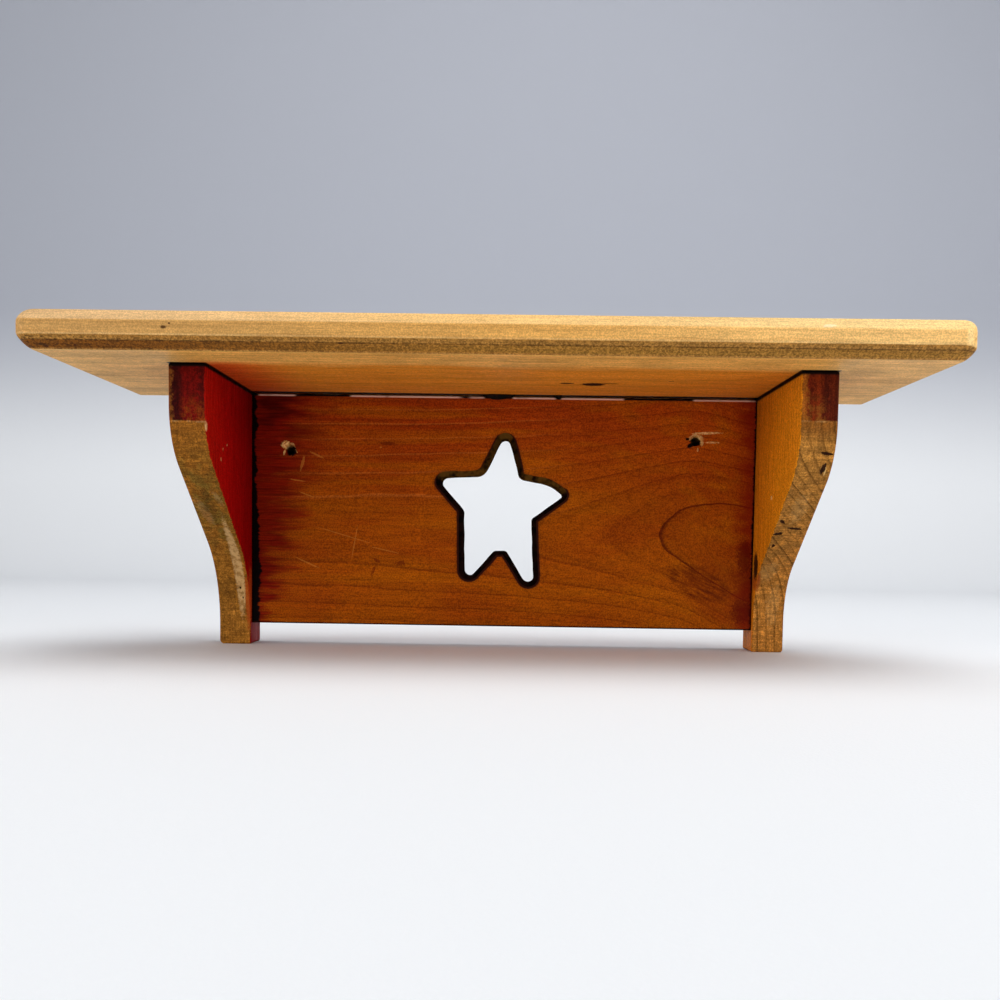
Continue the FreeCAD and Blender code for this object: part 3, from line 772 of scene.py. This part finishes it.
def bracket_finish(side):
    """Stain on the faces, and on the front edge bare sanded wood with its rings, knots and scars."""
    low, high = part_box(side + "_bracket")
    looks = bracket_looks[side]
    finish, place = start_finish(side + " bracket pine")
    x, y, z = taken_apart(place)
    normal_x, normal_y = surface_direction(place)[:2]
    inward = normal_x if side == "left" else -1.0 * normal_x
    outer, inner = (low.x, high.x) if side == "left" else (high.x, low.x)
    reach = (x - outer) / (inner - outer)
    log_place = stretch(place, (1, 1, 1), looks["pith"], (0, math.radians(-90), 0))
    figure = pine_figure(log_place, looks["ring width"], wander=4 * MM, late_share=0.34)
    dark_fibre = fade(figure["Fibre"], 0.60, 0.38)
    streak = fade(figure["Streak"], 0.35, 0.65)
    mottle = fade(cloud(place, 330.0, 3.0, 0.65), 0.36, 0.64)

    # The bare wood below: rings where the curve cuts through them, mottled where the sander bit unevenly.
    patches = fade(cloud(place, 120.0, 2.0, 0.6), 0.38, 0.62)
    bare = blend(*looks["sanded"], fade(z, -60 * MM, -125 * MM))
    patch_colour, patch_top, patch_foot = looks["patchy"]
    bare = blend(bare, patch_colour, patches * within(z, patch_foot, patch_top, 12 * MM) * 0.75)
    bare = tone(bare, patches, 1.10, 0.92)
    saw_lines = fade(grained(place, (90, 500, 1300)), 0.36, 0.64)
    bare = tone(bare, saw_lines, 0.80, 1.20)
    begins = looks["sanded from"]
    run_on = looks["run on"] * fade(z, begins - 14 * MM, begins - 1 * MM)
    bare = blend(bare, looks["top foot"], run_on)
    bare = blend(bare, looks["worn"], 0.6 * mottle)
    bare = blend(bare, (84, 50, 16), looks["ring strength"] * figure["Line"])

    # The stained top of the edge, in stretches across it, warmer toward where the sanding begins.
    uneven = 0.10 * (mottle - 0.5) + reach
    top = looks["top"]
    for start, stop, stain in looks["top stretches"]:
        top = blend(top, stain, 0.85 * within(uneven, start, stop, 0.10))
    top = tone(top, mottle, 1.15, 0.75)
    warming = fade(z, begins + 16 * MM, begins) * fade(reach, 0.25, 0.5) * mottle
    top = blend(top, looks["top foot"], 0.8 * warming)
    wavy = 1.5 * MM * (figure["Streak"] - 0.5) + z
    edge_colour = blend(bare, top, fade(wavy, begins - 0.5 * MM, begins + 0.5 * MM))
    scraped = within(wavy, begins - 0.7 * MM, begins + 0.1 * MM, 0.3 * MM)
    edge_colour = blend(edge_colour, looks["scar"], scraped * mottle * 0.3)

    # The stained faces, painted darker from front to back as shade toward the panel.
    front, middle, back = looks["inner"]
    inner_colour = blend(front, middle, fade(y, low.y, -62 * MM))
    inner_colour = blend(inner_colour, back, fade(y, -70 * MM, panel_front))
    inner_colour = blend(inner_colour, middle, 0.3 * streak)
    inner_colour = blend(inner_colour, back, 0.25 * figure["Line"])
    outer_colour = blend(*outer_stain, streak)
    base = blend(edge_colour, inner_colour, fade(inward - 0.35 * mottle, 0.40, 0.60))
    base = blend(base, outer_colour, fade(inward, -0.55, -0.9))
    base = blend(base, outer_colour, fade(normal_y, 0.5, 0.9))
    base = tone(base, dark_fibre, 1.12, 0.80)
    base = tone(base, fade(figure["Pore"], 0.32, 0.68), 0.74, 1.28)

    # Scars, knots, and the dark line under the board, painted as shade where the bracket meets it.
    off_back = fade(normal_y, 0.6, 0.2)
    base = blend(base, looks["blush"], marks(place, looks["blushes"], 1.5) * off_back * 0.7)
    scars = most(marks(place, looks["scars"], 0.6), 0.25 * marks(place, looks["scuffs"], 2.0))
    base = blend(base, looks["scar"], scars * off_back * fade(mottle, 1.6, 0.1) * 0.9)
    base = tone(base, marks(place, looks["shadows"], 1.5) * off_back, 1.0, 0.72)
    knots = marks(place, looks["knots"], 1.2) * off_back
    base = blend(base, (32, 10, 4), 0.96 * knots)
    base = blend(base, (10, 4, 3), fade(z, high.z - 2.6 * MM, high.z - 1.4 * MM))
    height = 0.5 * figure["Fibre"] - 0.8 * knots
    end_finish(finish, base, 0.18 * dark_fibre + 0.46, height, 0.3 * MM, specular=0.04)
    return finish


for side in ("left", "right"):
    bracket = make_piece(side + "_side", bracket_shape(side), bracket_finish(side))
    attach(bracket, "root")
    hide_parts(side + "_bracket")

# Shelf board: one flat-sawn pine board, left its own colour, planed to a wide bevel above and below
# along its front, and sanded rounder at its ends. It lies on the brackets and is nailed down into them.
board_low, board_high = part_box("shelf_board")
half_thickness = (board_high.z - board_low.z) / 2
board_corner_rounds = {"left": 8 * MM, "right": 9 * MM}
corner_bevel_share = 0.9
board_levels = 40
# How wide each edge's bevel is above and below, and how round: 1 is a straight cut, 2 a quarter circle.
board_edges = {
    "front": {"above": (6 * MM, 1.06), "below": (6 * MM, 1.06)},
    "left": {"above": (7 * MM, 2.0), "below": (7.5 * MM, 1.4)},
    "right": {"above": (4.5 * MM, 2.0), "below": (5.5 * MM, 1.3)},
}


def set_back(edge, height):
    """How far an edge of the board stands back at a height above or below its middle."""
    bevel, roundness = board_edges[edge]["above" if height > 0 else "below"]
    share = max(abs(height) - half_thickness + bevel, 0) / bevel
    return bevel * (1 - max(1 - share ** roundness, 0) ** (1 / roundness))


board_mesh = bmesh.new()
outlines = []
for level in range(board_levels + 1):
    height = half_thickness * math.sin(math.pi * (level / board_levels - 0.5))
    front_back = set_back("front", height)
    front = board_low.y + front_back
    left = board_low.x + set_back("left", height)
    right = board_high.x - set_back("right", height)
    left_turn, right_turn = [turn - corner_bevel_share * front_back for turn in board_corner_rounds.values()]
    corners = [Vector(corner) for corner in ((right, board_high.y, height), (left, board_high.y, height),
                                             (left, front, height), (right, front, height))]
    outlines.append(trace(board_mesh, corners, [0, 0, left_turn, right_turn], UP, arc_steps=8))
    if level:
        bmesh.ops.bridge_loops(board_mesh, edges=outlines[-2] + outlines[-1])
bmesh.ops.edgeloop_fill(board_mesh, edges=outlines[0])
bmesh.ops.edgeloop_fill(board_mesh, edges=outlines[-1])
bmesh.ops.recalc_face_normals(board_mesh, faces=board_mesh.faces[:])
shelf_seats = []
for side in ("left", "right"):
    filler_low, filler_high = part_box(side + "_shelf_nail_filler")
    seat_x = (filler_low.x + filler_high.x) / 2
    for seat_y in (filler_low.y + nail_seat_radius, filler_high.y - nail_seat_radius):
        shelf_seats.append((Vector((seat_x, seat_y, board_high.z)), filler_high.z - filler_low.z))
drill_seats(board_mesh, UP, shelf_seats)

board_finish, place = start_finish("natural board pine")
x, y, z = taken_apart(place)
normal_x, normal_y, normal_z = surface_direction(place)
log_place = stretch(place, (1, 1, 1), (0, 75 * MM, 55 * MM))
figure = pine_figure(log_place, ring_width=4.2 * MM, wander=9 * MM, late_share=0.5)
dark_fibre = fade(figure["Fibre"], 0.60, 0.38)
pore = fade(figure["Pore"], 0.38, 0.66)
mottle = fade(cloud(place, 420.0, 3.0, 0.7), 0.36, 0.64)
streak = fade(figure["Streak"], 0.35, 0.65)

# Bare wood, golden, paler from left to right; the upper bevel painted palest, as light from above falls on
# it, and a painted highlight on the right front corner.
right_half = fade(x, 0.0, 200 * MM)
base = blend((202, 153, 88), (227, 169, 89), fade(x, -220 * MM, 20 * MM))
base = blend(base, (250, 199, 122), right_half)
bevel_light_tone = blend((218, 176, 122), (242, 193, 120), fade(x, -200 * MM, 0.0))
bevel_light_tone = blend(bevel_light_tone, (246, 206, 136), right_half)
# A painted highlight where the right front corner turns toward the light.
corner_highlight = within(normal_x, 0.12, 0.50, 0.10) * fade(z, -4 * MM, -2 * MM)
base = blend(base, bevel_light_tone, most(fade(normal_z, 0.3, 0.6), corner_highlight))
base = tone(base, corner_highlight, 1.0, 1.12)

# The lower bevel is coloured darker and browner toward the left, with caught dust and a dark line through it;
# its worn upper arris has a painted highlight.
lower_bevel = fade(normal_z, -0.25, -0.5) * fade(normal_z, -0.93, -0.85)
lower_bevel_colour = blend((115, 64, 8), (156, 109, 42), fade(x, -200 * MM, 50 * MM))
lower_bevel_colour = blend(lower_bevel_colour, (164, 115, 50), fade(z, -5.9 * MM, -5.4 * MM))
lower_bevel_colour = blend(lower_bevel_colour, (172, 125, 62), fade(z, -8.6 * MM, -9.4 * MM))
groove = within(z, -5.95 * MM, -5.45 * MM, 0.25 * MM)
lower_bevel_colour = blend(lower_bevel_colour, (88, 52, 16), groove * fade(mottle, -0.4, 0.6) * 0.9)
specks = fade(cloud(place, 960.0, 3.0, 0.6), 0.40, 0.60)
lower_bevel_colour = tone(lower_bevel_colour, specks, 0.62, 1.32)
dust = fade(grained(place, (380, 600, 600)), 0.56, 0.66)
caught = dust * fade(x, -60 * MM, -220 * MM) * fade(z, -3.2 * MM, -5 * MM)
lower_bevel_colour = blend(lower_bevel_colour, (52, 28, 6), 0.8 * caught)
base = blend(base, lower_bevel_colour, 0.96 * lower_bevel)
# A painted highlight along the worn upper arris of the lower bevel.
worn_arris_highlight = within(z, -3.4 * MM, -2.7 * MM, 0.3 * MM) * fade(normal_y, -0.4, -0.7)
base = blend(base, (252, 214, 150), 0.25 * worn_arris_highlight)

# Underneath, between the brackets, an amber band toward the panel: partly stain run from the brackets and
# panel, partly painted shade and colour reflected from the panel.
left_bracket_low, left_bracket_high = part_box("left_bracket")
bracket_middle = (left_bracket_low.x + left_bracket_high.x) / 2
underside = fade(normal_z, -0.86, -0.95)
run = grained(place, (16, 120, 120), 3.0)
stain_line = 26 * MM * (run - 0.5) + y
inboard = within(x, bracket_middle, -bracket_middle, 9 * MM)
amber_stain_and_shade = underside * inboard * fade(stain_line, -112 * MM, -96 * MM)
under_colour = blend((235, 183, 108), (246, 182, 92), inboard)
under_colour = tone(under_colour, fade(run, 0.36, 0.64), 0.90, 1.07)
under_colour = tone(under_colour, fade(cloud(place, 60.0, 3.0, 0.6), 0.38, 0.62), 0.90, 1.07)
base = blend(base, under_colour, underside)
# Redder toward the left end: painted shadow of the left bracket.
amber_colour = blend((237, 143, 35), (218, 58, 4), fade(x - panel_low.x, 50 * MM, 0.0))
base = blend(base, amber_colour, 0.9 * amber_stain_and_shade)

# The grain itself, pores and darker fibres.
end_grain = fade(calc("ABSOLUTE", normal_x), 0.5, 0.8)
base = blend(base, (166, 104, 36), figure["Line"] * (0.45 * end_grain + 0.22))
base = tone(base, streak, 0.93, 1.05)
base = tone(base, dark_fibre, 1.05, 0.84)
fine_pore = result_of(place.tree, "Mix", {0: end_grain, 2: pore, 3: 0.5})
base = tone(base, fine_pore, 0.84, 1.13)
base = tone(base, mottle * fade(normal_z, 0.3, -0.3), 1.05, 0.86)

# Painted shade along the seams where the panel and brackets meet the underside.
between = within(x, panel_low.x, panel_high.x, 0.5 * MM)
seam_shade = between * within(y, panel_front - 1.6 * MM, panel_front + 4 * MM, 0.5 * MM)
for side in ("left", "right"):
    low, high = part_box(side + "_bracket")
    beside = within(x, low.x - 0.7 * MM, high.x + 0.7 * MM, 0.5 * MM)
    seam_shade = most(seam_shade, beside * fade(y, low.y - 1.2 * MM, low.y - 0.2 * MM))
base = blend(base, (12, 5, 3), seam_shade * underside * 0.95)

# A knot and a nick on the front, a slit knot underneath, and specks where dust was caught in the finish.
board_knots = [
    ((-161, -139.7, 0.2), (1.3, 9, 0.75), 0),
    ((-158.2, -139.7, 2.0), (0.6, 9, 0.4), 0),
    ((-219, -134, -8.4), (1.0, 9, 0.5), 0),
    ((-205, -134, -7.8), (0.8, 9, 0.4), 0),
    ((-76.8, -136, -5.8), (1.4, 9, 0.4), 0),
    ((92, -70, -9.5), (1.6, 0.8, 3), 0),
    ((-60, -84, -9.5), (2.0, 0.6, 3), 0),
]
knots = marks(place, board_knots, 1.2)
base = blend(base, (62, 30, 8), 0.85 * knots)
slit_knot = [((50.3, -57.2, -9.5), (6.4, 4.4, 3), 0), ((35.2, -59.8, -9.5), (4.0, 1.7, 3), 0),
             ((59.5, -60.2, -9.5), (4.5, 0.9, 3), 0)]
slit = marks(place, slit_knot, 0.8)
base = blend(base, (16, 5, 2), slit)
nick = marks(place, [((154.6, -139, 5.0), (3.2, 9, 0.9), -6)], 1.6)
base = blend(base, (255, 236, 200), 0.45 * nick)
height = 0.5 * figure["Fibre"] - 0.25 * figure["Line"] - 0.8 * most(knots, slit)
end_finish(board_finish, base, 0.15 * dark_fibre + 0.5, height, 0.2 * MM, specular=0.08)

board = make_piece("bevelled_board", board_mesh, board_finish)
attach(board, "root")
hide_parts("shelf_board")

# Glue: two dabs that were squeezed out of the gap between the panel's top edge and the board and set hard,
# dark with stain. Each is a thin slab in the gap, with a bead where it came out over the panel's front.
glue_low, glue_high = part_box("glue_spots")
glue_beads = [
    {"middle": -3.2 * MM, "half_size": (9.4 * MM, 2.2 * MM, 2.9 * MM), "slab": (glue_low.x, 4.8 * MM)},
    {"middle": 33.0 * MM, "half_size": (1.7 * MM, 1.6 * MM, 2.7 * MM), "slab": (30.6 * MM, glue_high.x)},
]
bead_lumps = 0.22
bead_waves = 1.7
bead_shift = 300
glue_mesh = bmesh.new()
for bead in glue_beads:
    middle = Vector((bead["middle"], panel_front, glue_high.z))
    points = bmesh.ops.create_uvsphere(glue_mesh, u_segments=48, v_segments=32, radius=1)["verts"]
    for point in points:
        point.co *= 1 + bead_lumps * noise.noise(point.co * bead_waves + middle * bead_shift)
    bmesh.ops.scale(glue_mesh, verts=points, vec=bead["half_size"])
    bmesh.ops.translate(glue_mesh, verts=points, vec=middle)
beads = glue_mesh.verts[:] + glue_mesh.edges[:] + glue_mesh.faces[:]
sliced = bmesh.ops.bisect_plane(glue_mesh, geom=beads, plane_co=(0, 0, glue_high.z), plane_no=UP,
                                clear_outer=True)
bmesh.ops.edgeloop_fill(glue_mesh, edges=edges_among(sliced["geom_cut"]))
for bead in glue_beads:
    slab_start, slab_end = bead["slab"]
    slab_low = Vector((slab_start, panel_front + MM, glue_low.z))
    boxed(glue_mesh, slab_low, Vector((slab_end, glue_high.y, glue_high.z)))

glue_finish, place = start_finish("dark set glue")
lumps = cloud(place, 420.0, 3.0)
base = blend((9, 5, 4), (32, 15, 9), fade(lumps, 0.4, 0.66))
end_finish(glue_finish, base, 0.4 * lumps + 0.3, lumps, 0.5 * MM, specular=0.04)

glue = make_piece("squeezed_glue", glue_mesh, glue_finish)
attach(glue, "root")
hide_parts("glue_spots")

# Nails and filler: finishing nails of drawn steel wire, set below the surface, and the wood filler that was
# knifed flush over their heads. The nails are hidden in the wood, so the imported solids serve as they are.
nail_finish, place = start_finish("drawn nail wire")
drawn = grained(place, (900, 900, 900), 3.0)
base = blend((112, 112, 114), (158, 158, 160), fade(drawn, 0.4, 0.62))
base = blend(base, (98, 66, 44), fade(cloud(place, 160.0, 3.0), 0.52, 0.66))
end_finish(nail_finish, base, 0.4 * drawn + 0.2, drawn, 0.05 * MM, metallic=1.0)


def filler_finish(name, dry, oily):
    """Wood filler, coloured to suit the wood round it, with grit and faint knife strokes."""
    finish, place = start_finish(name)
    grit = cloud(place, 2600.0, 3.0)
    strokes = grained(place, (400, 2400, 1600))
    base = blend(dry, oily, fade(cloud(place, 500.0), 0.4, 0.6))
    base = blend(base, (96, 56, 22), 0.4 * fade(grit, 0.5, 0.7))
    end_finish(finish, base, 0.3 * grit + 0.6, grit + 0.6 * strokes, 0.08 * MM, specular=0.1)
    return finish


fixings = {
    "_shelf_nails": nail_finish,
    "_side_nails": nail_finish,
    "_shelf_nail_filler": filler_finish("board filler", (204, 158, 98), (184, 132, 74)),
    "_side_nail_filler": filler_finish("bracket filler", (150, 88, 36), (122, 62, 22)),
}
for side in ("left", "right"):
    for fixing, finish in fixings.items():
        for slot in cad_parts[side + fixing].material_slots:
            slot.material = finish

# Stage: a sheet of pale paper on which the feet stand, laid flat in front and curved up behind the shelf
# in one sweep, so that no line shows where the floor ends.
floor_level = cad_bounds[0].z
sweep_half_width = 3.0
sweep_front = -3.0
sweep_back = 1.5
sweep_top = 2.2
cove = 0.5
cove_steps = 24
sweep_mesh = bmesh.new()
start = sweep_mesh.verts.new((-sweep_half_width, sweep_front, floor_level))
turn = sweep_mesh.verts.new((-sweep_half_width, sweep_back - cove, floor_level))
sweep_mesh.edges.new((start, turn))
cove_middle = (-sweep_half_width, sweep_back - cove, floor_level + cove)
curve = bmesh.ops.spin(sweep_mesh, geom=[turn], cent=cove_middle, axis=ALONG, angle=math.pi / 2,
                       steps=cove_steps)
end = points_among(curve["geom_last"])[0]
sweep_mesh.edges.new((end, sweep_mesh.verts.new((-sweep_half_width, sweep_back, sweep_top))))
grown = bmesh.ops.extrude_edge_only(sweep_mesh, edges=sweep_mesh.edges[:])["geom"]
bmesh.ops.translate(sweep_mesh, verts=points_among(grown), vec=ALONG * 2 * sweep_half_width)
paper, place = start_finish("pale paper")
z = taken_apart(place)[2]
base = blend((240, 242, 244), (177, 180, 189), fade(z, 0.02, 0.45))
paper_tooth = cloud(place, 900.0)
end_finish(paper, base, 0.1 * paper_tooth + 0.8, paper_tooth, 0.1 * MM, specular=0.1)
sweep = make_piece("sweep", sweep_mesh, paper)

# Light: two large soft lamps in front, to the left and the right, a third above, and pale room light.
# Each lamp's share is the part of plain full light that it gives a surface turned to it at the shelf.
lamps = {
    "left lamp": {"place": (-1.8, -0.985, 0.0), "size": 1.1, "share": 0.58},
    "right lamp": {"place": (1.8, -0.985, 0.0), "size": 1.1, "share": 0.58},
    "top lamp": {"place": (0.3, -0.25, 1.8), "size": 1.6, "share": 0.84},
}
room_light = 0.3
room_seen = 0.9
target = Vector((0, -0.05, -0.06))
for name, lamp in lamps.items():
    glow = bpy.data.lights.new(name, "AREA")
    glow.size = lamp["size"]
    reach = target - Vector(lamp["place"])
    glow.energy = lamp["share"] * math.pi ** 2 * reach.length_squared
    lamp_object = bpy.data.objects.new(name, glow)
    lamp_object.location = lamp["place"]
    lamp_object.rotation_euler = reach.to_track_quat("-Z", "Y").to_euler()
    lamp_object.visible_camera = False
    bpy.context.scene.collection.objects.link(lamp_object)
room = bpy.data.worlds.new("room")
room.use_nodes = True
rays = add_node(room.node_tree, "LightPath", {})
ray_kinds = ("Is Camera Ray", "Is Glossy Ray", "Is Transmission Ray")
seen = most(*[Field(room.node_tree, rays[kind]) for kind in ray_kinds])
strength = (room_seen - room_light) * seen + room_light
background = room.node_tree.nodes["Background"]
background.inputs["Color"].default_value = light((248, 250, 255))
room.node_tree.links.new(strength.socket, background.inputs["Strength"])
bpy.context.scene.world = room

# Camera: stands in front of the shelf, a little below the board, and looks slightly down. Its axis meets the
# picture below the middle, so the lens is shifted up.
camera_place = Vector((5.904, -586.336, -103.396)) * MM
camera_yaw = Matrix.Rotation(math.radians(0.655), 4, "Z")
camera_pitch = Matrix.Rotation(math.radians(-3.023), 4, "X")
camera_roll = Matrix.Rotation(math.radians(-0.857), 4, "Y")
lens_forward = Matrix.Rotation(math.pi / 2, 4, "X")
image_width = 1000
focal_pixels = 932.39
axis_below_middle = 100
lens = bpy.data.cameras.new("camera")
lens.sensor_width = 36
lens.lens = focal_pixels / image_width * lens.sensor_width
lens.shift_y = axis_below_middle / image_width
lens.clip_start = 0.01
camera = bpy.data.objects.new("camera", lens)
camera_standing = Matrix.Translation(camera_place) @ camera_yaw @ camera_pitch @ camera_roll
camera.matrix_world = camera_standing @ lens_forward
bpy.context.scene.collection.objects.link(camera)
bpy.context.scene.camera = camera
bpy.context.scene.view_settings.view_transform = "Standard"
